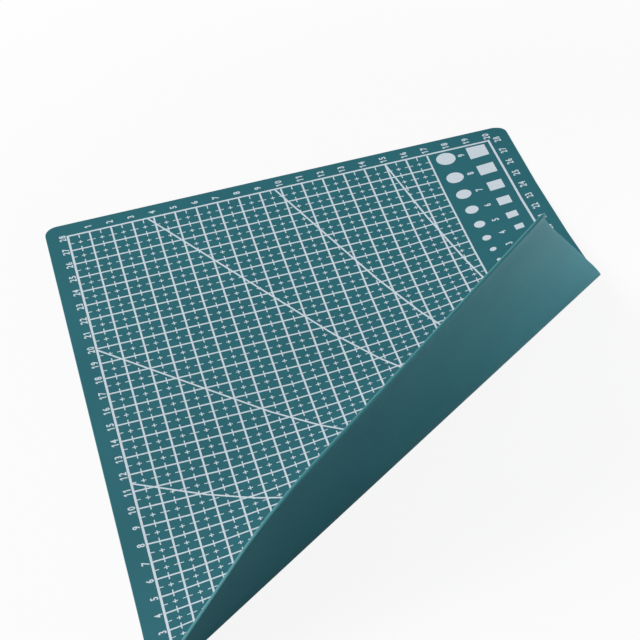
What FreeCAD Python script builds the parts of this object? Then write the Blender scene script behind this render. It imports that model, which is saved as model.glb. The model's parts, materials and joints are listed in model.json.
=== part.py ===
import FreeCAD, Part
import Sketcher
import math
import os

# A thin, flexible self-healing cutting mat with a printed centimetre layout. It lies face up with its long
# side along Y. The near right corner is lifted, rolled over the face and lies back above it.
#
# The mat is made flat first: three bonded plies, with a layer of ink on the front. Fan-shaped fold lines,
# all through one point outside the sheet, then cut every layer into strips, and each strip is turned about
# its fold line, so that the row of narrow strips follows the round, slightly conical curl of the sheet.
#
# Millimetres and degrees. Z = 0 is the desk. The origin is under the centre of the flat sheet. The resting
# strip, which carries the curled sheet on the desk, keeps its place in the flat sheet.

SIZES = {
    # the bare sheet
    "sheet_length": 300.0,
    "sheet_width": 220.0,
    "corner_radius": 6.0,
    "back_skin_thickness": 0.45,
    "core_thickness": 0.30,
    "front_skin_thickness": 0.45,
    # the printed rules: a frame, the edge line of the gauge column and the angle lines
    "ink_thickness": 0.03,
    "frame_side_inset": 9.9,
    "frame_end_inset": 9.05,
    "frame_line_width": 1.0,
    "rule_line_width": 0.8,
    # the gauge column: filled circles and squares, each one step smaller than the one before
    "gauge_column_width": 30.1,
    "circle_inset": 22.45,
    "square_inset": 7.2,
    "first_mark_space": 1.7,
    "mark_space": 6.7,
    "largest_mark": 9.0,
    "mark_step": 1.0,
    # the curl: how far left of the lifted corner and nearer than it the fold lines meet,
    # and the zones of the fan, as angles seen from there, from the far left panel to the tip
    "fan_left": 360.0,
    "fan_near": 80.0,
    "gentle_spread": 13.2,
    "gentle_turn": 18.0,
    "tight_spread": 7.8,
    "tight_turn": 65.2,
    "straight_spread": 5.6,
    "reverse_spread": 4.0,
    "reverse_turn": 26.0,
    "tip_spread": 5.87,
    # clearance between neighbouring strips, as an angle seen from the fan point
    "strip_clearance": 0.01,
}
ANGLE_LINES = (30, 45, 60, 70, 80)
GAUGE_MARKS = 9
GENTLE_FOLDS = 3
TIGHT_FOLDS = 8
REVERSE_FOLDS = 3
RESTING_STRIP = 1

UP = FreeCAD.Vector(0, 0, 1)
THICKNESS = "(Sizes.back_skin_thickness + Sizes.core_thickness + Sizes.front_skin_thickness)"
LEFT = "(Sizes.frame_side_inset - Sizes.sheet_width / 2)"
RIGHT = "(Sizes.sheet_width / 2 - Sizes.frame_side_inset)"
NEAR = "(Sizes.frame_end_inset - Sizes.sheet_length / 2)"
FAR = "(Sizes.sheet_length / 2 - Sizes.frame_end_inset)"
FAN_X = "(Sizes.sheet_width / 2 - Sizes.fan_left)"
FAN_Y = "(-Sizes.sheet_length / 2 - Sizes.fan_near)"
CORNER_BEARING = "atan(Sizes.fan_near / Sizes.fan_left) / 1 deg"


def write_sizes(doc):
    """Keep the driving dimensions in the document's spreadsheet, one named cell each."""
    sheet = doc.addObject("Spreadsheet::Sheet", "Sizes")
    for row, (name, number) in enumerate(SIZES.items(), start=1):
        sheet.set(f"A{row}", name)
        sheet.set(f"B{row}", str(number))
        sheet.setAlias(f"B{row}", name)
    doc.recompute()
    return sheet


def add_bound(doc, kind, name, expressions):
    """Add an object whose properties follow expressions on the sizes."""
    added = doc.addObject(kind, name)
    for path, expression in expressions.items():
        added.setExpression(path, expression)
    return added


def add_box(doc, name, left, right, near, far):
    """Add a box of ink between four edges."""
    return add_bound(doc, "Part::Box", name, {
        "Length": f"{right} - {left}",
        "Width": f"{far} - {near}",
        "Height": "Sizes.ink_thickness",
        "Placement.Base.x": left,
        "Placement.Base.y": near,
        "Placement.Base.z": THICKNESS,
    })


def draw_outline(doc):
    """Sketch the rounded rectangle of the sheet, centred on the origin."""
    radius = SIZES["corner_radius"]
    right = SIZES["sheet_width"] / 2
    far = SIZES["sheet_length"] / 2
    corners = [FreeCAD.Vector(-right, -far), FreeCAD.Vector(right, -far),
               FreeCAD.Vector(right, far), FreeCAD.Vector(-right, far)]
    sketch = doc.addObject("Sketcher::SketchObject", "outline")
    for side in range(4):
        start = corners[side]
        end = corners[(side + 1) % 4]
        inset = (end - start).normalize() * radius
        sketch.addGeometry(Part.LineSegment(start + inset, end - inset))
        sketch.addConstraint(Sketcher.Constraint("Vertical" if side % 2 else "Horizontal", side))
    for corner, point in enumerate(corners):
        inward = FreeCAD.Vector(-math.copysign(radius, point.x), -math.copysign(radius, point.y))
        circle = Part.Circle(point + inward, UP, radius)
        start = math.pi + math.pi / 2 * corner
        arc = sketch.addGeometry(Part.ArcOfCircle(circle, start, start + math.pi / 2))
        sketch.addConstraint(Sketcher.Constraint("Tangent", (corner - 1) % 4, 2, arc, 1))
        sketch.addConstraint(Sketcher.Constraint("Tangent", arc, 2, corner, 1))
        if corner:
            sketch.addConstraint(Sketcher.Constraint("Equal", 4, arc))
    sketch.addConstraint(Sketcher.Constraint("Symmetric", 4, 3, 6, 3, -1, 1))
    measured = {
        "sheet_width": Sketcher.Constraint("DistanceX", 3, 1, 1, 1, right * 2),
        "sheet_length": Sketcher.Constraint("DistanceY", 0, 1, 2, 1, far * 2),
        "corner_radius": Sketcher.Constraint("Radius", 4, radius),
    }
    for name, constraint in measured.items():
        index = sketch.addConstraint(constraint)
        sketch.renameConstraint(index, name)
        sketch.setExpression(f"Constraints.{name}", f"Sizes.{name}")
    return sketch


def add_ply(doc, name, outline, base):
    """Extrude one full-size ply of the sheet upward from its base height."""
    ply = add_bound(doc, "Part::Extrusion", f"{name}_sheet", {
        "LengthFwd": f"Sizes.{name}_thickness",
        "Placement.Base.z": base,
    })
    ply.Base = outline
    ply.DirMode = "Custom"
    ply.Dir = UP
    ply.Solid = True
    return ply


def add_frame(doc):
    """The rectangular frame line round the printed layout, as two nested boxes of ink."""
    half = "Sizes.frame_line_width / 2"
    frame = doc.addObject("Part::Cut", "frame_line")
    frame.Base = add_box(doc, "frame_outside", f"({LEFT} - {half})", f"({RIGHT} + {half})",
                         f"({NEAR} - {half})", f"({FAR} + {half})")
    frame.Tool = add_box(doc, "frame_inside", f"({LEFT} + {half})", f"({RIGHT} - {half})",
                         f"({NEAR} + {half})", f"({FAR} - {half})")
    return frame


def add_angle_line(doc, angle):
    """A rule from the frame's near right inside corner to the far or left side of the frame."""
    corner_x = f"({RIGHT} - Sizes.frame_line_width / 2)"
    corner_y = f"({NEAR} + Sizes.frame_line_width / 2)"
    to_left = f"({corner_x} - {LEFT}) / cos({angle} deg)"
    to_far = f"({FAR} - {corner_y}) / sin({angle} deg)"
    line = add_bound(doc, "Part::Box", f"angle_line_{angle}", {
        "Length": f"min({to_left}; {to_far})",
        "Width": "Sizes.rule_line_width",
        "Height": "Sizes.ink_thickness",
        "Placement.Base.x": f"{corner_x} + Sizes.rule_line_width / 2 * sin({angle} deg)",
        "Placement.Base.y": f"{corner_y} + Sizes.rule_line_width / 2 * cos({angle} deg)",
        "Placement.Base.z": THICKNESS,
        "Placement.Rotation.Angle": f"180 deg - {angle} deg",
    })
    return line


def add_gauge_marks(doc):
    """The gauge column's filled circles and squares, largest at the far end."""
    marks = []
    for index in range(GAUGE_MARKS):
        size = f"(Sizes.largest_mark - {index} * Sizes.mark_step)"
        steps_before = index * (index - 1) / 2
        before = f"({index} * (Sizes.largest_mark + Sizes.mark_space) - {steps_before} * Sizes.mark_step)"
        centre_y = f"({FAR} - Sizes.first_mark_space - {before} - {size} / 2)"
        circle_x = f"({RIGHT} - Sizes.circle_inset)"
        square_x = f"({RIGHT} - Sizes.square_inset)"
        marks.append(add_bound(doc, "Part::Cylinder", f"gauge_circle_{index}", {
            "Radius": f"{size} / 2",
            "Height": "Sizes.ink_thickness",
            "Placement.Base.x": circle_x,
            "Placement.Base.y": centre_y,
            "Placement.Base.z": THICKNESS,
        }))
        marks.append(add_box(doc, f"gauge_square_{index}",
                             f"({square_x} - {size} / 2)", f"({square_x} + {size} / 2)",
                             f"({centre_y} - {size} / 2)", f"({centre_y} + {size} / 2)"))
    return marks


def add_ink(doc):
    """Fuse the whole printed layout of rules and gauge marks into one layer."""
    column_x = f"({RIGHT} - Sizes.gauge_column_width)"
    half = "Sizes.rule_line_width / 2"
    column_edge = add_box(doc, "column_edge", f"({column_x} - {half})", f"({column_x} + {half})", NEAR, FAR)
    angle_lines = [add_angle_line(doc, angle) for angle in ANGLE_LINES]
    ink = doc.addObject("Part::MultiFuse", "ink_sheet")
    ink.Shapes = [add_frame(doc), column_edge] + angle_lines + add_gauge_marks(doc)
    return ink


def fold_lines():
    """List each fold's bearing from the fan point and its turn; an upward turn is positive."""
    folds = []
    start = (f"{CORNER_BEARING} + Sizes.tip_spread + Sizes.reverse_spread + Sizes.straight_spread"
             " + Sizes.tight_spread + Sizes.gentle_spread")
    for zone, count, sign in (("gentle", GENTLE_FOLDS, ""), ("tight", TIGHT_FOLDS, ""),
                              ("straight", 0, ""), ("reverse", REVERSE_FOLDS, "-")):
        for index in range(count):
            bearing = f"{start} - Sizes.{zone}_spread * {index + 0.5} / {count}"
            folds.append((bearing, f"{sign}Sizes.{zone}_turn / {count}"))
        start += f" - Sizes.{zone}_spread"
    return folds


def add_sector(doc, index, upper, lower):
    """The wedge of the fan that holds one strip, a clearance short of its two fold lines."""
    return add_bound(doc, "Part::Cylinder", f"sector_{index:02d}", {
        "Radius": "sqrt(Sizes.fan_left^2 + (Sizes.fan_near + Sizes.sheet_length)^2)",
        "Height": f"{THICKNESS} + Sizes.ink_thickness",
        "Angle": f"({upper}) - ({lower}) - Sizes.strip_clearance",
        "Placement.Base.x": FAN_X,
        "Placement.Base.y": FAN_Y,
        "Placement.Rotation.Angle": f"{lower} + Sizes.strip_clearance / 2",
    })


def fold_motion(sheet, bearing, turn):
    """Turn what lies clockwise of a fold line; the face that closes carries the line."""
    angle = math.radians(sheet.evalExpression(bearing))
    degrees = sheet.evalExpression(turn)
    height = sheet.evalExpression(THICKNESS) if degrees > 0 else 0.0
    line = FreeCAD.Vector(math.cos(angle), math.sin(angle), 0)
    fan_point = FreeCAD.Vector(sheet.evalExpression(FAN_X), sheet.evalExpression(FAN_Y), height)
    return FreeCAD.Placement(FreeCAD.Vector(), FreeCAD.Rotation(line, -degrees), fan_point)


def strip_placements(sheet, folds):
    """Chain the folds outward from the resting strip."""
    motions = [fold_motion(sheet, bearing, turn) for bearing, turn in folds]
    placements = [FreeCAD.Placement()] * (len(folds) + 1)
    for index in range(RESTING_STRIP, 0, -1):
        placements[index - 1] = placements[index] * motions[index - 1].inverse()
    for index in range(RESTING_STRIP, len(folds)):
        placements[index + 1] = placements[index] * motions[index]
    return placements


def cut_strips(doc, sheet, layers):
    """Cut every layer along the folds and set each strip in its curled place."""
    folds = fold_lines()
    bearings = ["90"] + [bearing for bearing, turn in folds] + ["0"]
    nodes = []
    for index, placement in enumerate(strip_placements(sheet, folds)):
        sector = add_sector(doc, index, bearings[index], bearings[index + 1])
        for name, layer in layers.items():
            node = doc.addObject("Part::Common", f"{name}_{index:02d}")
            node.Label = f"{name}_{index:02d}"
            node.Base = layer
            node.Tool = sector
            node.Placement = placement
            nodes.append(node)
    return nodes


def check(doc, nodes):
    """Stop if an object failed or a node holds no valid solid."""
    for item in doc.Objects:
        if "Invalid" in item.State or "Error" in item.State:
            raise RuntimeError(f"{item.Name} failed: {item.State}")
    for node in nodes:
        if node.Shape.isNull() or not node.Shape.isValid() or not node.Shape.Solids:
            raise RuntimeError(f"{node.Label} has no valid solid")


def main():
    doc = FreeCAD.newDocument("cutting_mat")
    sheet = write_sizes(doc)
    outline = draw_outline(doc)
    under_core = "Sizes.back_skin_thickness"
    under_front = f"{under_core} + Sizes.core_thickness"
    layers = {
        "back_skin": add_ply(doc, "back_skin", outline, "0"),
        "core": add_ply(doc, "core", outline, under_core),
        "front_skin": add_ply(doc, "front_skin", outline, under_front),
        "print": add_ink(doc),
    }
    nodes = cut_strips(doc, sheet, layers)
    doc.recompute()
    check(doc, nodes)
    os.makedirs("parts", exist_ok=True)
    for node in nodes:
        node.Shape.exportStep(f"parts/{node.Label}.step")


main()
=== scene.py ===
"""A thin self-healing cutting mat, face up, with its near right corner rolled over the face.

Every layer is drawn on the flat sheet, sliced along the fan of seams between the folds, and laid on the curl
that the CAD joints describe. All lengths are metres; MM turns millimetres into metres.
"""
import json
import logging
import math
from dataclasses import dataclass
from enum import Enum, IntEnum

import bpy
import numpy as np
from mathutils import Matrix, Vector

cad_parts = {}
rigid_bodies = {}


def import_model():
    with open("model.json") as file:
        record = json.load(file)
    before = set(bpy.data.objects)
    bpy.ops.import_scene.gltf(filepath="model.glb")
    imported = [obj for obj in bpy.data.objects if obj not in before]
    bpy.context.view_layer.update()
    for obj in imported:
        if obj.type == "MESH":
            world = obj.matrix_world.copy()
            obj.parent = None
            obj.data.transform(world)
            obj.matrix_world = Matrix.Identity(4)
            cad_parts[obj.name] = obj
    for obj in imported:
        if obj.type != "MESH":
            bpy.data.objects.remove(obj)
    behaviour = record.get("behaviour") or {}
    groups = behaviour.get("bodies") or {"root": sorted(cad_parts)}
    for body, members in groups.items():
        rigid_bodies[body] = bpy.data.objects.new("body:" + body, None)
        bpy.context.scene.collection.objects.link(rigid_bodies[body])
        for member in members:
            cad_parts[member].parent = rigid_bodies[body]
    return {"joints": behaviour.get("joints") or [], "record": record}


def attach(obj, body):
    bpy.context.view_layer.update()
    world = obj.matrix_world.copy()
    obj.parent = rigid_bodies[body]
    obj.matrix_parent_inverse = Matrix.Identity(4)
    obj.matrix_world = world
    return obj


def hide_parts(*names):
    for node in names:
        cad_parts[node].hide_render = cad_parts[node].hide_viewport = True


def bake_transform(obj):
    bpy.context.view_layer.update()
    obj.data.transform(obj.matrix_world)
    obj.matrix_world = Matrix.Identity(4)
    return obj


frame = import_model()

Piece = bpy.types.Object

MM = 0.001
CUT_TOLERANCE = 1e-8
# points nearer than this count as one, and a normal this close to an axis, as a cosine, faces along it
SAME_PLACE = 1e-6
FACING = 0.999
LOG = logging.getLogger("cutting_mat")


# ---- handling meshes

def deselect_all() -> None:
    """Leave nothing selected, so that an operator acts only on what is picked next."""
    if bpy.context.object and bpy.context.object.mode != "OBJECT":
        bpy.ops.object.mode_set(mode="OBJECT")
    bpy.ops.object.select_all(action="DESELECT")


def pick(piece: Piece) -> Piece:
    """Select one object alone and make it the active one.

    Args:
        piece: the object.

    Returns:
        The same object.
    """
    deselect_all()
    piece.select_set(True)
    bpy.context.view_layer.objects.active = piece
    return piece


def take(name: str) -> Piece:
    """Name the object that a primitive operator has just added.

    Args:
        name: its new name.

    Returns:
        The object.
    """
    piece = bpy.context.object
    piece.name = name
    piece.data.name = name
    return piece


def edit(piece: Piece) -> None:
    """Open a mesh in edit mode with all of it selected.

    Args:
        piece: the mesh.
    """
    pick(piece)
    bpy.ops.object.mode_set(mode="EDIT")
    bpy.ops.mesh.select_mode(type="FACE")
    bpy.ops.mesh.select_all(action="SELECT")


def close_edit() -> None:
    """Go back to object mode."""
    bpy.ops.object.mode_set(mode="OBJECT")


def settle(piece: Piece) -> Piece:
    """Write an object's place, turn and scale into its mesh.

    Args:
        piece: the object.

    Returns:
        The same object.
    """
    pick(piece)
    bpy.ops.object.transform_apply(location=True, rotation=True, scale=True)
    return piece


def add_bar(name: str, low: tuple[float, float, float], high: tuple[float, float, float]) -> Piece:
    """Add a closed bar between two corners.

    Args:
        name: the bar's name.
        low: its lowest corner.
        high: its highest corner.

    Returns:
        The bar, with its place in its mesh.
    """
    deselect_all()
    centre = (Vector(low) + Vector(high)) / 2
    bpy.ops.mesh.primitive_cube_add(size=1, location=centre, scale=Vector(high) - Vector(low))
    return settle(take(name))


def repeat(piece: Piece, count: int, step: tuple[float, float, float]) -> Piece:
    """Copy a piece along a line with an array modifier, and apply it.

    Args:
        piece: what is repeated.
        count: how many there are in all.
        step: the offset from one to the next.

    Returns:
        The same object, now with all its copies.
    """
    pick(piece)
    modifier = piece.modifiers.new("repeat", "ARRAY")
    modifier.use_relative_offset = False
    modifier.use_constant_offset = True
    modifier.constant_offset_displace = step
    modifier.count = count
    bpy.ops.object.modifier_apply(modifier=modifier.name)
    return piece


def copy_of(piece: Piece, name: str, offset: tuple[float, float, float] = (0, 0, 0)) -> Piece:
    """Copy a piece with a mesh of its own.

    Args:
        piece: what is copied.
        name: the copy's name.
        offset: how far the copy's mesh is moved.

    Returns:
        The copy.
    """
    twin = piece.copy()
    twin.data = piece.data.copy()
    twin.name = name
    twin.data.name = name
    twin.data.transform(Matrix.Translation(offset))
    bpy.context.scene.collection.objects.link(twin)
    return twin


def join(pieces: list[Piece], name: str) -> Piece:
    """Join pieces into the first of them.

    Args:
        pieces: one piece or more.
        name: the name of the result.

    Returns:
        The joined piece.
    """
    pick(pieces[0])
    for piece in pieces[1:]:
        piece.select_set(True)
    if len(pieces) > 1:
        bpy.ops.object.join()
    return take(name)


def select_faces(piece: Piece, wanted: np.ndarray) -> None:
    """Select just the wanted faces, from edit mode and back to it.

    Args:
        piece: the mesh.
        wanted: one boolean for each face.
    """
    bpy.ops.mesh.select_all(action="DESELECT")
    close_edit()
    piece.data.polygons.foreach_set("select", wanted)
    bpy.ops.object.mode_set(mode="EDIT")


def facing(piece: Piece, axis: int, sign: int) -> np.ndarray:
    """Mark the faces whose normal points along one axis.

    Args:
        piece: the mesh, which may be in edit mode.
        axis: 0, 1 or 2.
        sign: 1 or -1.

    Returns:
        One boolean for each face.
    """
    piece.update_from_editmode()
    normals = np.zeros(len(piece.data.polygons) * 3)
    piece.data.polygons.foreach_get("normal", normals)
    return normals.reshape(-1, 3)[:, axis] * sign > FACING


def points_of(piece: Piece) -> np.ndarray:
    """Read the vertices of a mesh.

    Args:
        piece: the mesh.

    Returns:
        Rows of x, y, z.
    """
    points = np.zeros(len(piece.data.vertices) * 3)
    piece.data.vertices.foreach_get("co", points)
    return points.reshape(-1, 3)


# ---- the curl

class Carried(Enum):
    """How a segment of the sheet is carried: riding on one body, or laid bent across one fold, where it follows no
    body.
    """

    RIDES = "rides on one body"
    BENDS = "bends across one fold"


@dataclass
class Fold:
    """One fold line of the flat sheet, as its CAD joint places it."""

    name: str
    parent: str
    child: str
    point: Vector
    bearing: float
    turn: float
    before: Matrix
    after: Matrix
    reach: float
    ease: float


@dataclass
class Segment:
    """A wedge of the fan between two seams, from its upper bearing to its lower one."""

    name: str
    upper: float
    lower: float
    carried: Carried
    bodies: tuple[str, ...]
    fold: Fold | None


class Curl:
    """The fan of folds that carries the flat sheet to its rest shape."""

    # how far a fold's segment reaches to each side, in degrees of bearing, and where its corner is eased
    GENTLE_TURN_LIMIT = 7.0
    GENTLE_REACH = 13.2 / 3 / 2
    TIGHT_REACH = 7.8 / 8 / 2
    TIGHT_EASE = 0.25
    REVERSE_REACH = 4.0 / 3 / 2
    # the fan's first and last bearing, and the narrowest plain wedge between two folds, in degrees
    FAN_START = 90.0
    FAN_END = 0.0
    LEAST_WEDGE = 0.05
    # fold lines above this height lie on the front face; the reverse folds lie on the back
    FRONT_LINES = 0.5 * MM
    # points this near a fold line turn half way, and a blend reaches this far to each side of its line
    ON_LINE = 2e-7
    BLEND_REACH = 0.05 * MM

    def __init__(self, joints: list[dict], root: str) -> None:
        """Work out every fold's flat line and the motion on each side of it.

        Args:
            joints: the CAD joints, in order from the far left panel to the tip.
            root: the body that keeps its place.
        """
        self.root = root
        self.folds = [self._fold(joint, joints) for joint in joints]
        self.motions = [self.folds[0].before] + [fold.after for fold in self.folds]
        self.fan_point = self._meeting_point(self.folds[0], self.folds[-1])
        self.segments = self._segments()

    @staticmethod
    def _swing(joint: dict) -> Matrix:
        """The motion of a joint's child to the flat sheet.

        Args:
            joint: the CAD joint.

        Returns:
            The motion.
        """
        pivot = Vector(joint["pos_m"])
        angle = math.radians(joint["range_deg"][1])
        turn = Matrix.Rotation(angle, 4, Vector(joint["axis"]))
        return Matrix.Translation(pivot) @ turn @ Matrix.Translation(-pivot)

    def _flattening(self, body: str, joints: list[dict]) -> Matrix:
        """The motion that takes a body from its rest place to its place in the flat sheet.

        Args:
            body: its name.
            joints: all the joints.

        Returns:
            The motion.
        """
        motion = Matrix.Identity(4)
        while body != self.root:
            joint = next(j for j in joints if j["child"] == body)
            motion = self._swing(joint) @ motion
            body = joint["parent"]
        return motion

    def _fold(self, joint: dict, joints: list[dict]) -> Fold:
        """Read one joint as a fold line of the flat sheet.

        Args:
            joint: the joint.
            joints: all the joints.

        Returns:
            The fold.
        """
        to_flat = self._flattening(joint["parent"], joints)
        point = to_flat @ Vector(joint["pos_m"])
        line = to_flat.to_3x3() @ Vector(joint["axis"])
        if line.x < 0:
            line = -line
        parent_rest = to_flat.inverted()
        child_rest = self._flattening(joint["child"], joints).inverted()
        inward = joint["child"] == "main_panel"
        before, after = (child_rest, parent_rest) if inward else (parent_rest, child_rest)
        turn = joint["range_deg"][1]
        reach, ease = self.REVERSE_REACH, 0.0
        if point.z > self.FRONT_LINES:
            gentle = turn < self.GENTLE_TURN_LIMIT
            reach, ease = (self.GENTLE_REACH, 0.0) if gentle else (self.TIGHT_REACH, self.TIGHT_EASE)
        bearing = math.degrees(math.atan2(line.y, line.x))
        return Fold(joint["name"], joint["parent"], joint["child"], point, bearing, turn, before, after,
                    reach, ease)

    @staticmethod
    def _meeting_point(first: Fold, last: Fold) -> Vector:
        """Find where two fold lines of the flat sheet meet.

        Args:
            first: one fold.
            last: the other.

        Returns:
            The point, at desk height.
        """
        one, two = (Vector((math.cos(math.radians(fold.bearing)), math.sin(math.radians(fold.bearing))))
                    for fold in (first, last))
        between = (last.point - first.point).to_2d()
        share = between.cross(two) / one.cross(two)
        meeting = first.point.to_2d() + one * share
        return Vector((meeting.x, meeting.y, 0))

    def _segments(self) -> list[Segment]:
        """Share the fan out between the folds, with plain wedges where two folds stand apart.

        Returns:
            The segments, from the far left panel to the tip.
        """
        bodies = [self.folds[0].child] + [self.folds[0].parent] + [fold.child for fold in self.folds[1:]]
        segments = []
        upper = self.FAN_START
        for index, fold in enumerate(self.folds):
            top = fold.bearing + fold.reach
            if upper - top > self.LEAST_WEDGE:
                name = "panel" if index == 0 else "flap"
                segments.append(Segment(name, upper, top, Carried.RIDES, (bodies[index],), None))
            segments.append(Segment(fold.name, top, fold.bearing - fold.reach, Carried.BENDS,
                                    (bodies[index], bodies[index + 1]), fold))
            upper = fold.bearing - fold.reach
        segments.append(Segment("tip", upper, self.FAN_END, Carried.RIDES, (bodies[-1],), None))
        return segments

    def plane(self, bearing: float) -> tuple[Vector, Vector]:
        """The upright plane along a bearing from the fan point: a point, and its normal to larger bearings."""
        angle = math.radians(bearing)
        return self.fan_point, Vector((-math.sin(angle), math.cos(angle), 0))

    def rest_points(self, flat: np.ndarray, segment: Segment) -> np.ndarray:
        """Carry points of one segment from the flat sheet to the curl.

        Args:
            flat: rows of x, y, z on the flat sheet.
            segment: the segment that they belong to.

        Returns:
            The points at rest. A fold's corner is cut by a straight facet between its two eased lines.
        """
        def moved(matrix: Matrix, points: np.ndarray) -> np.ndarray:
            """Move rows of points by a motion."""
            full = np.array(matrix)
            return points @ full[:3, :3].T + full[:3, 3]

        fold = segment.fold
        if fold is None:
            index = {"panel": 0, "tip": len(self.folds)}.get(segment.name)
            if index is None:
                index = next(i for i, f in enumerate(self.folds, 1) if f.child == segment.bodies[0])
            return moved(self.motions[index], flat)
        angle = math.radians(fold.bearing)
        along = np.array([math.cos(angle), math.sin(angle), 0])
        across = np.array([math.sin(angle), -math.cos(angle), 0])
        offset = flat - np.array(fold.point)
        far = offset @ across
        distance = (flat - np.array(self.fan_point)) @ along
        before, after = moved(fold.before, flat), moved(fold.after, flat)
        rest = np.where((far < 0)[:, None], before, after)
        if fold.ease:
            half = distance * math.tan(math.radians(fold.ease))
            inside = np.abs(far) < half
            start = moved(fold.before, flat - np.outer(far + half, across))
            end = moved(fold.after, flat - np.outer(far - half, across))
            share = ((far + half) / (2 * half))[:, None]
            rest = np.where(inside[:, None], start * (1 - share) + end * share, rest)
        else:
            on_line = np.abs(far) < self.ON_LINE
            rest = np.where(on_line[:, None], moved(self._half(fold), flat), rest)
        return rest

    @staticmethod
    def _half(fold: Fold) -> Matrix:
        """The motion of the fold line itself: half of the fold's turn, after the side before it.

        Args:
            fold: the fold.

        Returns:
            The motion.
        """
        relative = fold.before.inverted() @ fold.after
        axis, angle = relative.to_quaternion().to_axis_angle()
        turn = Matrix.Rotation(angle / 2, 4, axis)
        pivot = fold.point
        return fold.before @ Matrix.Translation(pivot) @ turn @ Matrix.Translation(-pivot)

    def carry(self, piece: Piece, segment: Segment) -> None:
        """Mount a finished piece on its body when it rides on one; a piece across a fold only has its place baked
        into its mesh and follows no body.

        Args:
            piece: the piece, already laid.
            segment: its segment.
        """
        if segment.carried is Carried.RIDES:
            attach(piece, segment.bodies[0])
            return
        fold = segment.fold
        middle = self._half(fold)
        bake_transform(piece)


# ---- finishes

def linear(hex_colour: str) -> tuple[float, float, float, float]:
    """Turn an sRGB hex colour into linear RGBA."""
    channels = [int(hex_colour[i:i + 2], 16) / 255 for i in (1, 3, 5)]
    return (*(c / 12.92 if c <= 0.04045 else ((c + 0.055) / 1.055) ** 2.4 for c in channels), 1.0)


def add_node(tree: bpy.types.NodeTree, kind: str, settings: dict | None = None,
             **inputs: object) -> bpy.types.Node:
    """Add a node with its settings and links.

    Args:
        tree: the material's node tree.
        kind: the node type's name without its ShaderNode prefix.
        settings: the node's own properties.
        inputs: a value or an output socket for each input, by its name with _ for a space, or by its number
            as i0, i1 and so on.

    Returns:
        The new node.
    """
    node = tree.nodes.new("ShaderNode" + kind)
    for name, value in (settings or {}).items():
        setattr(node, name, value)
    for name, value in inputs.items():
        numbered = name[0] == "i" and name[1:].isdigit()
        socket = node.inputs[int(name[1:]) if numbered else name.replace("_", " ")]
        if isinstance(value, bpy.types.NodeSocket):
            tree.links.new(value, socket)
        else:
            socket.default_value = value
    return node


def new_material(name: str) -> tuple[bpy.types.Material, bpy.types.NodeTree]:
    """Add an empty material that uses nodes.

    Args:
        name: its name.

    Returns:
        The material and its node tree.
    """
    material = bpy.data.materials.new(name)
    material.use_nodes = True
    material.node_tree.nodes.clear()
    return material, material.node_tree


def per_metre(millimetres: float) -> float:
    """The texture scale whose pattern repeats about once in a real size."""
    return 1 / (millimetres * MM)


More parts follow.
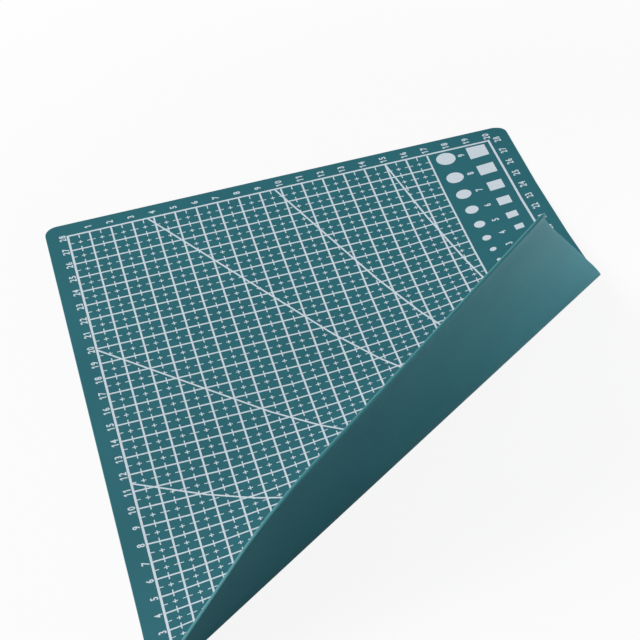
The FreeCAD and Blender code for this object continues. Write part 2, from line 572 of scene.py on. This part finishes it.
@dataclass(frozen=True)
class SoftVinyl:
    """Calendered soft PVC, pressed with a fine grain while warm: dull gloss, broken up by the grain."""

    name: str
    colour: str
    cloud_colour: str
    roughness: float
    roughness_spread: float
    grain_mm: float
    grain_depth_mm: float
    # the cut rim's colour: partly the rough cut's own paler tone, partly a painted highlight of light catching the
    # edge
    rim_colour: str = "#2A7F87"
    cloud_mm: float = 45.0
    half_size_mm: tuple[float, float] = (110.0, 150.0)
    corner_mm: float = 6.0
    # where the cut rim's colour fades in, as distances from the outline: a paler cut that is partly painted
    # highlight of the lit edge; and the index of soft PVC
    rim_mm: tuple[float, float] = (-0.15, -0.03)
    index: float = 1.5

    def _reach(self, tree: bpy.types.NodeTree, place: bpy.types.NodeSocket) -> bpy.types.NodeSocket:
        """How far a point lies outside the sheet's rounded outline.

        Args:
            tree: the material's nodes.
            place: the point's place on the flat sheet.

        Returns:
            The distance in metres, negative inside.
        """
        corner = [(half - self.corner_mm) * MM for half in self.half_size_mm]
        flat = add_node(tree, "VectorMath", {"operation": "MULTIPLY"}, i0=place, i1=(1, 1, 0))
        folded = add_node(tree, "VectorMath", {"operation": "ABSOLUTE"}, i0=flat.outputs[0])
        beyond = add_node(tree, "VectorMath", {"operation": "SUBTRACT"}, i0=folded.outputs[0], i1=(*corner, 0))
        clipped = add_node(tree, "VectorMath", {"operation": "MAXIMUM"}, i0=beyond.outputs[0], i1=(0, 0, 0))
        length = add_node(tree, "VectorMath", {"operation": "LENGTH"}, i0=clipped.outputs[0])
        return add_node(tree, "Math", {"operation": "SUBTRACT"}, i0=length.outputs["Value"],
                        i1=self.corner_mm * MM).outputs[0]

    def material(self) -> bpy.types.Material:
        """Build the material on the flat sheet's own coordinates, so that it follows the curl.

        Returns:
            The material.
        """
        made, tree = new_material(self.name)
        place = add_node(tree, "Attribute", {"attribute_name": "flat_place"}).outputs["Vector"]
        cloud = add_node(tree, "TexNoise", Vector=place, Scale=per_metre(self.cloud_mm),
                         Detail=3.0, Roughness=0.55)
        spread = add_node(tree, "MapRange", Value=cloud.outputs["Fac"], From_Min=0.35, From_Max=0.65)
        colour = add_node(tree, "Mix", {"data_type": "RGBA"}, i0=spread.outputs["Result"],
                          i6=linear(self.colour), i7=linear(self.cloud_colour))
        # the rim mask paints the cut edge paler: partly the rough cut's own tone, partly a painted highlight where
        # the edge catches light
        rim_highlight_mask = add_node(tree, "MapRange", {"interpolation_type": "SMOOTHSTEP"}, Value=self._reach(tree, place),
                       From_Min=self.rim_mm[0] * MM, From_Max=self.rim_mm[1] * MM)
        with_rim_highlight = add_node(tree, "Mix", {"data_type": "RGBA"}, i0=rim_highlight_mask.outputs["Result"], i6=colour.outputs[2],
                         i7=linear(self.rim_colour))
        # the pressed grain is about 0.3 mm on the real sheet; it is drawn coarser, so that it shows
        grain = add_node(tree, "TexNoise", Vector=place, Scale=per_metre(self.grain_mm), Detail=2.0, Roughness=0.6)
        smoothest, roughest = self.roughness - self.roughness_spread, self.roughness + self.roughness_spread
        gloss = add_node(tree, "MapRange", Value=grain.outputs["Fac"], From_Min=0.3, From_Max=0.7,
                         To_Min=smoothest, To_Max=roughest)
        bump = add_node(tree, "Bump", Strength=0.5, Distance=self.grain_depth_mm * MM, Height=grain.outputs["Fac"])
        shader = add_node(tree, "BsdfPrincipled", Base_Color=with_rim_highlight.outputs[2], Roughness=gloss.outputs["Result"],
                          IOR=self.index, Metallic=0.0, Normal=bump.outputs["Normal"])
        add_node(tree, "OutputMaterial", Surface=shader.outputs["BSDF"])
        return made


@dataclass(frozen=True)
class ScreenInk:
    """Vinyl screen-printing ink, pulled through a mesh: dead matt, thinner over the grain's peaks."""

    name: str
    colour: str
    thin_colour: str
    thin_mm: float = 1.1
    roughness: float = 0.62
    index: float = 1.5

    def material(self) -> bpy.types.Material:
        """Build the material on the flat sheet's own coordinates.

        Returns:
            The material.
        """
        made, tree = new_material(self.name)
        place = add_node(tree, "Attribute", {"attribute_name": "flat_place"}).outputs["Vector"]
        thin = add_node(tree, "TexNoise", Vector=place, Scale=per_metre(self.thin_mm), Detail=2.0, Roughness=0.6)
        spread = add_node(tree, "MapRange", Value=thin.outputs["Fac"], From_Min=0.5, From_Max=0.75, To_Max=0.5)
        colour = add_node(tree, "Mix", {"data_type": "RGBA"}, i0=spread.outputs["Result"],
                          i6=linear(self.colour), i7=linear(self.thin_colour))
        shader = add_node(tree, "BsdfPrincipled", Base_Color=colour.outputs[2], Roughness=self.roughness,
                          IOR=self.index, Metallic=0.0)
        add_node(tree, "OutputMaterial", Surface=shader.outputs["BSDF"])
        return made


# ---- the layers

class Layer(Enum):
    """The bonded layers, by the first word of their CAD nodes, each with its material slot."""

    BACK_SKIN = ("back_skin", "mat_skin")
    CORE = ("core", "mat_core")
    FRONT_SKIN = ("front_skin", "mat_skin")
    PRINT = ("print", "print_ink")

    @property
    def node(self) -> str:
        """The start of the CAD node names."""
        return self.value[0]

    @property
    def slot(self) -> str:
        """The record's material slot."""
        return self.value[1]


class EasedEdge(Enum):
    """Which outline edge of a ply is the sheet's own softened edge."""

    NONE = 0
    UPPER = 1
    LOWER = -1


@dataclass
class Ply:
    """One full-size ply of the sheet."""

    layer: Layer
    base: float
    thickness: float
    eased: EasedEdge
    width: float = 220 * MM
    length: float = 300 * MM
    corner_radius: float = 6 * MM
    edge_radius: float = 0.15 * MM
    margin: float = 0.4 * MM
    corner_steps: int = 10
    edge_steps: int = 3

    def build(self) -> Piece:
        """Model the ply flat: a slab with rounded corners, a softened outer edge and a margin round each face.

        Returns:
            The flat ply.
        """
        low = (-self.width / 2, -self.length / 2, self.base)
        high = (self.width / 2, self.length / 2, self.base + self.thickness)
        slab = add_bar(f"{self.layer.node}_flat", low, high)
        edit(slab)
        self._bevel(slab, self._upright_edges(slab), self.corner_radius, self.corner_steps)
        if self.eased is not EasedEdge.NONE:
            height = high[2] if self.eased is EasedEdge.UPPER else low[2]
            self._bevel(slab, self._edges_at(slab, height), self.edge_radius, self.edge_steps)
        for sign in (1, -1):
            select_faces(slab, facing(slab, 2, sign))
            bpy.ops.mesh.inset(thickness=self.margin, depth=0)
        close_edit()
        return slab

    @staticmethod
    def _ends(slab: Piece) -> tuple[np.ndarray, np.ndarray]:
        """Read the two end points of every edge.

        Args:
            slab: the ply, in edit mode.

        Returns:
            The first points and the second ones, as rows.
        """
        slab.update_from_editmode()
        pairs = np.zeros(len(slab.data.edges) * 2, int)
        slab.data.edges.foreach_get("vertices", pairs)
        points = points_of(slab)[pairs.reshape(-1, 2)]
        return points[:, 0], points[:, 1]

    def _upright_edges(self, slab: Piece) -> np.ndarray:
        """Mark the edges that run straight up."""
        start, end = self._ends(slab)
        return np.abs((start - end)[:, :2]).max(1) < SAME_PLACE

    def _edges_at(self, slab: Piece, height: float) -> np.ndarray:
        """Mark the edges that lie at one height."""
        start, end = self._ends(slab)
        return (np.abs(start[:, 2] - height) < SAME_PLACE) & (np.abs(end[:, 2] - height) < SAME_PLACE)

    @staticmethod
    def _bevel(slab: Piece, wanted: np.ndarray, radius: float, segments: int) -> None:
        """Round the marked edges.

        Args:
            slab: the ply, in edit mode.
            wanted: one boolean for each edge.
            radius: how far the rounding reaches.
            segments: its number of facets.
        """
        bpy.ops.mesh.select_mode(type="EDGE")
        bpy.ops.mesh.select_all(action="DESELECT")
        close_edit()
        slab.data.edges.foreach_set("select", wanted)
        bpy.ops.object.mode_set(mode="EDIT")
        bpy.ops.mesh.bevel(offset=radius, segments=segments, affect="EDGES")
        bpy.ops.mesh.select_mode(type="FACE")


@dataclass
class Figures:
    """The layout's numbers: plain sans-serif figures that read towards the far end."""

    height: float = 3.2 * MM
    weight: float = 0.026
    spacing: float = 1.18
    ink: float = 0.03 * MM
    base: float = 1.2 * MM
    squeeze: float = 0.92
    plain_upright: int = 8
    flag_reach: float = 0.15
    flag_drop: float = 0.13
    flag_weight: float = 0.14
    curve_steps: int = 3
    depth: float = 0.5
    weld: float = 1e-4

    def _with_flags(self, shape: Piece, name: str) -> Piece:
        """Give each figure one, which is a plain upright in this font, its slanted flag.

        Args:
            shape: a number as closed ink, at the font's own size.
            name: the name of the result.

        Returns:
            The number, with a flag at the head of each upright.
        """
        others = set(bpy.data.objects) - {shape}
        edit(shape)
        bpy.ops.mesh.separate(type="LOOSE")
        close_edit()
        digits = [piece for piece in bpy.data.objects if piece not in others]
        flags = []
        for digit in digits:
            if len(digit.data.vertices) > self.plain_upright:
                continue
            low, high = points_of(digit).min(0), points_of(digit).max(0)
            flag = add_bar("flag", (low[0] - self.flag_reach, high[1] - self.flag_weight, low[2]),
                           (low[0], high[1], high[2]))
            edit(flag)
            select_faces(flag, facing(flag, 0, -1))
            bpy.ops.transform.translate(value=(0, -self.flag_drop, 0))
            close_edit()
            flags.append(flag)
        return join(digits + flags, name)

    def model(self, number: int) -> Piece:
        """Model one number as closed ink, centred on the origin and turned to read along +Y.

        Args:
            number: the number.

        Returns:
            Its piece.
        """
        deselect_all()
        bpy.ops.object.text_add()
        text = bpy.context.object
        text.data.body = str(number)
        text.data.resolution_u = self.curve_steps
        text.data.extrude = self.depth
        text.data.offset = self.weight
        text.data.space_character = self.spacing
        bpy.ops.object.convert(target="MESH")
        shape = take(f"figure_{number}")
        edit(shape)
        bpy.ops.mesh.remove_doubles(threshold=self.weld)
        bpy.ops.mesh.normals_make_consistent(inside=False)
        close_edit()
        shape = self._with_flags(shape, f"figure_{number}")
        low, high = points_of(shape).min(0), points_of(shape).max(0)
        centre = Vector((low + high) / 2)
        scale = self.height / (high[1] - low[1])
        fit = Matrix.Diagonal((scale * self.squeeze, scale, self.ink / (high[2] - low[2]), 1))
        lift = Matrix.Translation((0, 0, self.base + self.ink / 2))
        shape.data.transform(lift @ Matrix.Rotation(math.pi / 2, 4, "Z") @ fit @ Matrix.Translation(-centre))
        return shape


class Under(IntEnum):
    """How far down each part of the print lies, counted in thin steps, so that no two tops share a height."""

    FRAME = 0
    UPRIGHT_LINES = 1
    LEVEL_LINES = 2
    ANGLE_LINES = 3
    HALF_MARKS = 4


@dataclass
class PrintedLayout:
    """The ink on the face: frame, centimetre net, half-centimetre marks, angle lines, gauge column and numbers."""

    base: float = 1.2 * MM
    ink: float = 0.03 * MM
    under: float = 0.004 * MM
    left: float = -100 * MM
    near: float = -140 * MM
    cell: float = 10 * MM
    columns: int = 17
    rows: int = 28
    all_columns: int = 20
    frame_half_width: float = 100.1 * MM
    frame_half_length: float = 140.95 * MM
    frame_line: float = 1.0 * MM
    rule_line: float = 0.8 * MM
    mark_line: float = 0.46 * MM
    plus_arm: float = 1.05 * MM
    tick_arm: float = 2.0 * MM
    angles: tuple[int, ...] = (30, 45, 60, 70, 80)
    circle_x: float = 77.65 * MM
    figure_x: float = 85.0 * MM
    square_x: float = 92.9 * MM
    gauge_sizes: tuple[int, ...] = (9, 8, 7, 6, 5, 4, 3, 2, 1)
    first_mark_space: float = 1.7 * MM
    mark_space: float = 6.7 * MM
    far_row: float = 144.6 * MM
    left_column: float = -102.55 * MM
    right_column: float = 104 * MM
    circle_sides: int = 48

    def _top(self, level: Under) -> float:
        """The height of an ink surface."""
        return self.base + self.ink - self.under * level

    def _bar(self, name: str, x: tuple[float, float], y: tuple[float, float], level: Under) -> Piece:
        """Add a bar of ink over a rectangle of the face."""
        return add_bar(name, (x[0], y[0], self.base), (x[1], y[1], self._top(level)))

    def _raise(self, flat: Piece, level: Under) -> Piece:
        """Give a flat sheet of ink its thickness upward.

        Args:
            flat: the sheet.
            level: where it lies in the print.

        Returns:
            The same object.
        """
        pick(flat)
        modifier = flat.modifiers.new("thickness", "SOLIDIFY")
        modifier.thickness = self._top(level) - self.base
        modifier.offset = 1
        bpy.ops.object.modifier_apply(modifier=modifier.name)
        return flat

    def frame_line_piece(self) -> Piece:
        """The frame line: a rectangle, inset by the line's width and opened.

        Returns:
            The line, closed all round.
        """
        deselect_all()
        width = self.frame_half_width * 2 + self.frame_line
        length = self.frame_half_length * 2 + self.frame_line
        bpy.ops.mesh.primitive_plane_add(size=1, location=(0, 0, self.base))
        sheet = take("frame_line")
        sheet.scale = (width, length, 1)
        settle(sheet)
        edit(sheet)
        bpy.ops.mesh.inset(thickness=self.frame_line, depth=0)
        bpy.ops.mesh.delete(type="FACE")
        close_edit()
        return self._raise(sheet, Under.FRAME)

    def net(self) -> Piece:
        """The centimetre net, from the frame to the gauge column's edge line and from end to end.

        Returns:
            The net.
        """
        half = self.rule_line / 2
        left, far = -self.frame_half_width, self.frame_half_length
        right = self.left + self.columns * self.cell
        x, y = self.left + self.cell, self.near + self.cell
        uprights = repeat(self._bar("upright_lines", (x - half, x + half), (-far, far), Under.UPRIGHT_LINES),
                          self.columns - 1, (self.cell, 0, 0))
        levels = repeat(self._bar("level_lines", (left, right), (y - half, y + half), Under.LEVEL_LINES),
                        self.rows - 1, (0, self.cell, 0))
        return join([uprights, levels], "centimetre_net")

    def half_marks(self) -> Piece:
        """The half-centimetre marks: a plus in every cell and a tick half way along every grid line.

        Returns:
            The marks.
        """
        half = self.mark_line / 2
        cell, level = self.cell, Under.HALF_MARKS
        x, y = self.left + cell / 2, self.near + cell / 2
        plus = self._bar("plus_marks", (x - half, x + half), (y - half, y + half), level)
        edit(plus)
        for axis, middle in ((0, y), (1, x)):
            for sign in (1, -1):
                select_faces(plus, facing(plus, axis, sign) & self._in_line(plus, 1 - axis, middle))
                step = [0.0, 0.0, 0.0]
                step[axis] = sign * (self.plus_arm - half)
                bpy.ops.mesh.extrude_region_move(TRANSFORM_OT_translate={"value": step})
        close_edit()
        repeat(repeat(plus, self.columns, (cell, 0, 0)), self.rows, (0, cell, 0))
        arm = self.tick_arm
        ticks = [plus]
        for name, column, reach in (("first", 0, (0, arm)), ("last", self.columns, (-arm, 0))):
            x = self.left + column * cell
            bar = self._bar(f"{name}_ticks", (x + reach[0], x + reach[1]), (y - half, y + half), level)
            ticks.append(repeat(bar, self.rows, (0, cell, 0)))
        x = self.left + cell
        across = repeat(self._bar("upright_ticks", (x - arm, x + arm), (y - half, y + half), level),
                        self.rows, (0, cell, 0))
        ticks.append(repeat(across, self.columns - 1, (cell, 0, 0)))
        x = self.left + cell / 2
        gap = self.frame_half_length + self.near
        for name, row, reach in (("near", 0, (-gap, arm)), ("far", self.rows, (-arm, gap))):
            y = self.near + row * cell
            bar = self._bar(f"{name}_ticks", (x - half, x + half), (y + reach[0], y + reach[1]), level)
            ticks.append(repeat(bar, self.columns, (cell, 0, 0)))
        y = self.near + cell
        along = repeat(self._bar("level_ticks", (x - half, x + half), (y - arm, y + arm), level),
                       self.columns, (cell, 0, 0))
        ticks.append(repeat(along, self.rows - 1, (0, cell, 0)))
        return join(ticks, "half_marks")

    def _in_line(self, piece: Piece, axis: int, middle: float) -> np.ndarray:
        """Mark the faces whose centre lies in line with a point along an axis.

        Args:
            piece: the mesh.
            axis: 0, 1 or 2.
            middle: the point's place on that axis.

        Returns:
            One boolean for each face.
        """
        centres = np.zeros(len(piece.data.polygons) * 3)
        piece.data.polygons.foreach_get("center", centres)
        return np.abs(centres.reshape(-1, 3)[:, axis] - middle) < self.mark_line / 4

    def rules(self) -> Piece:
        """The gauge column's edge line and the angle lines from the near right corner of the frame.

        Returns:
            The rules.
        """
        half = self.rule_line / 2
        edge = self.left + self.columns * self.cell
        bars = [self._bar("column_edge", (edge - half, edge + half),
                          (-self.frame_half_length, self.frame_half_length), Under.FRAME)]
        inset = self.frame_line / 2
        corner = Vector((self.frame_half_width - inset, inset - self.frame_half_length))
        for angle in self.angles:
            turn = math.radians(180 - angle)
            to_left = (corner.x + self.frame_half_width) / math.cos(math.radians(angle))
            to_far = (self.frame_half_length - corner.y) / math.sin(math.radians(angle))
            length = min(to_left, to_far)
            middle = corner + Vector((math.cos(turn), math.sin(turn))) * length / 2
            thickness = self._top(Under.ANGLE_LINES) - self.base
            deselect_all()
            bpy.ops.mesh.primitive_cube_add(size=1, location=(*middle, self.base + thickness / 2),
                                            rotation=(0, 0, turn), scale=(length, self.rule_line, thickness))
            bars.append(settle(take(f"angle_line_{angle}")))
        return join(bars, "rules")

    def gauge_column(self, figures: dict[int, Piece]) -> Piece:
        """Filled circles and squares from 9 mm to 1 mm, with their sizes between them.

        Args:
            figures: each number's piece.

        Returns:
            The column.
        """
        marks = []
        y = self.frame_half_length - self.first_mark_space
        for size in self.gauge_sizes:
            half = size * MM / 2
            y -= half
            deselect_all()
            bpy.ops.mesh.primitive_cylinder_add(vertices=self.circle_sides, radius=half, depth=self.ink,
                                                location=(self.circle_x, y, self.base + self.ink / 2))
            marks.append(settle(take(f"gauge_circle_{size}")))
            marks.append(self._bar(f"gauge_square_{size}", (self.square_x - half, self.square_x + half),
                                   (y - half, y + half), Under.FRAME))
            marks.append(copy_of(figures[size], f"gauge_figure_{size}", (self.figure_x, y, 0)))
            y -= half + self.mark_space
        return join(marks, "gauge_column")

    def numbers(self, figures: dict[int, Piece]) -> Piece:
        """The centimetre numbers: 1 to 20 along both ends, 1 to 28 along both sides.

        Args:
            figures: each number's piece.

        Returns:
            The numbers.
        """
        placed = []
        for number, figure in figures.items():
            x, y = self.left + number * self.cell, self.near + number * self.cell
            if number <= self.all_columns:
                placed.append(copy_of(figure, f"far_{number}", (x, self.far_row, 0)))
                placed.append(copy_of(figure, f"near_{number}", (x, -self.far_row, 0)))
            placed.append(copy_of(figure, f"left_{number}", (self.left_column, y, 0)))
            placed.append(copy_of(figure, f"right_{number}", (self.right_column, y, 0)))
        return join(placed, "numbers")

    def build(self) -> list[Piece]:
        """Model the whole layout flat.

        Returns:
            The groups that are sliced one by one.
        """
        type_of = Figures(base=self.base, ink=self.ink)
        figures = {number: type_of.model(number) for number in range(1, self.rows + 1)}
        groups = [self.frame_line_piece(), self.net(), self.half_marks(), self.rules(),
                  self.gauge_column(figures), self.numbers(figures)]
        for figure in figures.values():
            bpy.data.objects.remove(figure)
        return groups


# ---- slicing and laying

@dataclass
class Slicer:
    """Slices flat layers along the seams, scores their fold lines and lays the pieces on the curl."""

    curl: Curl
    smooth_angle: float = 20.0

    def _cut(self, piece: Piece, bearing: float, clear: str | None) -> None:
        """Bisect a piece along a bearing.

        Args:
            piece: the piece, which may be empty.
            bearing: where the cut runs, as seen from the fan point.
            clear: the side to take away, upper or lower, which closes the cut; None keeps both.
        """
        if not len(piece.data.vertices):
            return
        point, normal = self.curl.plane(bearing)
        edit(piece)
        bpy.ops.mesh.bisect(plane_co=point, plane_no=normal, use_fill=clear is not None, threshold=CUT_TOLERANCE,
                            clear_outer=clear == "upper", clear_inner=clear == "lower")
        close_edit()

    def slices(self, flat: Piece) -> dict[str, Piece]:
        """Slice one flat layer, which is used up, into the curl's segments.

        Args:
            flat: the layer.

        Returns:
            The pieces by segment name, without the empty ones.
        """
        pieces = {}
        for segment in self.curl.segments:
            piece = copy_of(flat, f"{flat.name}_{segment.name}")
            self._cut(piece, segment.lower, "lower")
            self._cut(flat, segment.lower, "upper")
            if not len(piece.data.vertices):
                bpy.data.objects.remove(piece)
                continue
            if segment.fold:
                fold = segment.fold
                for bearing in sorted({fold.bearing + fold.ease, fold.bearing - fold.ease}):
                    self._cut(piece, bearing, None)
            edit(piece)
            bpy.ops.mesh.normals_make_consistent(inside=False)
            close_edit()
            pieces[segment.name] = piece
        bpy.data.objects.remove(flat)
        return pieces

    def lay(self, piece: Piece, segment: Segment) -> None:
        """Keep each point's flat place as an attribute, and move the points to the curl.

        No operator bends a sheet along a fan of lines, so each point is moved here by its own strip's motion.

        Args:
            piece: a flat piece.
            segment: its segment.
        """
        flat = points_of(piece)
        place = piece.data.attributes.new("flat_place", "FLOAT_VECTOR", "POINT")
        place.data.foreach_set("vector", flat.ravel())
        piece.data.vertices.foreach_set("co", self.curl.rest_points(flat, segment).ravel())
        piece.data.update()
        pick(piece)
        bpy.ops.object.shade_smooth_by_angle(angle=math.radians(self.smooth_angle))

    def fit(self, layer: Layer, flats: list[Piece], finish: bpy.types.Material) -> None:
        """Slice a layer's flat groups, join them segment by segment, lay and dress each piece, and mount each one
        that rides on a body.

        Args:
            layer: which layer it is.
            flats: the layer's flat groups.
            finish: the layer's material.
        """
        sliced = [self.slices(flat) for flat in flats]
        for segment in self.curl.segments:
            parts = [group[segment.name] for group in sliced if segment.name in group]
            if not parts:
                continue
            piece = join(parts, f"{layer.node}_{segment.name}")
            self.lay(piece, segment)
            piece.data.materials.clear()
            piece.data.materials.append(finish)
            self.curl.carry(piece, segment)
            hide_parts(*(self._node(layer, body) for body in segment.bodies))
            LOG.info("%s: %d faces, %s %s", piece.name, len(piece.data.polygons), segment.carried.value,
                     " and ".join(segment.bodies))

    @staticmethod
    def _node(layer: Layer, body: str) -> str:
        """The CAD node of a layer on a body."""
        return next(n for n in frame["record"]["behaviour"]["bodies"][body] if n.startswith(layer.node))


# ---- the studio

@dataclass
class Studio:
    """A pale floor, soft lamps and the camera."""

    camera_place: tuple[float, float, float] = (-0.071326, -0.716169, 0.589193)
    camera_direction: tuple[float, float, float] = (0.06926, 0.79003, -0.60915)
    camera_up: tuple[float, float, float] = (0.28523, 0.56962, 0.77083)
    lens_mm: float = 126.35
    sensor_mm: float = 36.0
    clip_start: float = 0.01
    # each lamp's name, place, side and power, and the point that they all face
    lamps: tuple[tuple, ...] = (("key", (-0.9, 0.1, 1.2), 1.0, 20.5), ("side", (0.26, -0.08, 0.04), 0.07, 0.42))
    aim: tuple[float, float, float] = (0, 0, 0.03)
    room_strength: float = 0.25
    # the floor lies just under the mat; its white share rises for the camera between the first two distances,
    # and for gloss and glass between the other two
    floor_radius: float = 8.0
    floor_gap: float = 0.02 * MM
    floor_colour: str = "#D8D8DA"
    near_share: float = 0.9
    seen_white: tuple[float, float] = (0.2, 0.5)
    mirrored_white: tuple[float, float] = (0.5, 1.0)

    def camera(self) -> None:
        """Set up the camera."""
        forward = Vector(self.camera_direction).normalized()
        right = forward.cross(Vector(self.camera_up)).normalized()
        up = right.cross(forward)
        data = bpy.data.cameras.new("camera")
        data.lens = self.lens_mm
        data.sensor_width = self.sensor_mm
        data.clip_start = self.clip_start
        eye = bpy.data.objects.new("camera", data)
        turn = Matrix((right, up, -forward)).transposed().to_4x4()
        eye.matrix_world = Matrix.Translation(self.camera_place) @ turn
        bpy.context.scene.collection.objects.link(eye)
        bpy.context.scene.camera = eye

    def lamp(self, name: str, place: tuple[float, float, float], size: float, power: float) -> None:
        """Hang a square soft box that faces the mat.

        Args:
            name: its name.
            place: where it hangs.
            size: its side.
            power: its power in watts.
        """
        data = bpy.data.lights.new(name, "AREA")
        data.size = size
        data.energy = power
        box = bpy.data.objects.new(name, data)
        box.location = place
        box.rotation_euler = (Vector(self.aim) - Vector(place)).to_track_quat("-Z", "Y").to_euler()
        bpy.context.scene.collection.objects.link(box)

    def world(self) -> None:
        """An even grey-white room, seen as plain white by the camera."""
        world = bpy.data.worlds.new("room")
        bpy.context.scene.world = world
        world.use_nodes = True
        tree = world.node_tree
        tree.nodes.clear()
        path = add_node(tree, "LightPath")
        room = add_node(tree, "Background", Color=(1, 1, 1, 1), Strength=self.room_strength)
        white = add_node(tree, "Background", Color=(1, 1, 1, 1), Strength=1.0)
        seen = add_node(tree, "Math", {"operation": "MAXIMUM"}, i0=path.outputs["Is Camera Ray"],
                        i1=path.outputs["Is Transmission Ray"])
        shown = add_node(tree, "MixShader", i0=seen.outputs[0], i1=room.outputs[0], i2=white.outputs[0])
        add_node(tree, "OutputWorld", Surface=shown.outputs[0])

    def floor(self) -> None:
        """A pale floor that keeps the mat's soft shadow and is plain white further out."""
        deselect_all()
        bpy.ops.mesh.primitive_circle_add(vertices=96, radius=self.floor_radius, fill_type="NGON",
                                          location=(0, 0, -self.floor_gap))
        ground = settle(take("floor"))
        made, tree = new_material("matt_white_floor")
        path = add_node(tree, "LightPath")
        place = add_node(tree, "TexCoord").outputs["Object"]
        reach = add_node(tree, "VectorMath", {"operation": "LENGTH"}, i0=place)
        far = add_node(tree, "MapRange", {"interpolation_type": "SMOOTHSTEP"}, Value=reach.outputs["Value"],
                       From_Min=self.seen_white[0], From_Max=self.seen_white[1],
                       To_Min=self.near_share, To_Max=1.0)
        seen = add_node(tree, "Math", {"operation": "MULTIPLY"}, i0=path.outputs["Is Camera Ray"],
                        i1=far.outputs["Result"])
        # gloss and glass show the white floor too, but only well away from the mat's own shadow
        outer = add_node(tree, "MapRange", {"interpolation_type": "SMOOTHSTEP"}, Value=reach.outputs["Value"],
                         From_Min=self.mirrored_white[0], From_Max=self.mirrored_white[1])
        bent = add_node(tree, "Math", {"operation": "MAXIMUM"}, i0=path.outputs["Is Glossy Ray"],
                        i1=path.outputs["Is Transmission Ray"])
        mirrored = add_node(tree, "Math", {"operation": "MULTIPLY"}, i0=bent.outputs[0],
                            i1=outer.outputs["Result"])
        share = add_node(tree, "Math", {"operation": "MAXIMUM"}, i0=seen.outputs[0], i1=mirrored.outputs[0])
        paint = add_node(tree, "BsdfDiffuse", Color=linear(self.floor_colour))
        white = add_node(tree, "Emission", Color=(1, 1, 1, 1), Strength=1.0)
        shown = add_node(tree, "MixShader", i0=share.outputs[0], i1=paint.outputs[0], i2=white.outputs[0])
        add_node(tree, "OutputMaterial", Surface=shown.outputs[0])
        ground.data.materials.append(made)

    def build(self) -> None:
        """Set up everything round the mat."""
        self.camera()
        self.world()
        self.floor()
        for lamp in self.lamps:
            self.lamp(*lamp)
        view = bpy.context.scene.view_settings
        view.view_transform = "Standard"
        LOG.info("studio ready")


def main() -> None:
    """Build the mat's layers, lay them on the curl, and set up the studio."""
    logging.basicConfig(level=logging.INFO, format="%(name)s %(message)s")
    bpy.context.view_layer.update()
    curl = Curl(frame["joints"], "resting_strip")
    slicer = Slicer(curl)
    LOG.info("curl: %d folds in %d segments, fan point %s", len(curl.folds), len(curl.segments),
             tuple(curl.fan_point))
    # calendered PVC: a deep blue-green, smooth enough for a dull sheen that shows the roll
    back = SoftVinyl("calendered_pvc_back", "#065862", "#0A5C65", roughness=0.56, roughness_spread=0.05,
                     grain_mm=0.9, grain_depth_mm=0.02)
    # embossed PVC: a little paler and duller; where the face is cut, a light line that is partly the cut's own
    # paler tone and partly painted highlight
    front = SoftVinyl("embossed_pvc_front", "#13626D", "#176671", roughness=0.62, roughness_spread=0.06,
                      grain_mm=0.8, grain_depth_mm=0.04, rim_colour="#54989E")
    # foamed PVC: paler than both skins and matt, seen only along the cut edge
    inside = SoftVinyl("foamed_pvc_core", "#1C6E78", "#22747D", roughness=0.6, roughness_spread=0.06,
                       grain_mm=0.4, grain_depth_mm=0.02)
    # vinyl ink: a cool off-white without gloss, greyer where it lies thin
    ink = ScreenInk("vinyl_screen_ink", "#D0DCE5", "#BDCDD6")
    plies = [(Ply(Layer.BACK_SKIN, 0.0, 0.45 * MM, EasedEdge.LOWER), back),
             (Ply(Layer.CORE, 0.45 * MM, 0.30 * MM, EasedEdge.NONE), inside),
             (Ply(Layer.FRONT_SKIN, 0.75 * MM, 0.45 * MM, EasedEdge.UPPER), front)]
    for ply, finish in plies:
        slicer.fit(ply.layer, [ply.build()], finish.material())
    slicer.fit(Layer.PRINT, PrintedLayout().build(), ink.material())
    Studio().build()


if __name__ == "__main__":
    main()
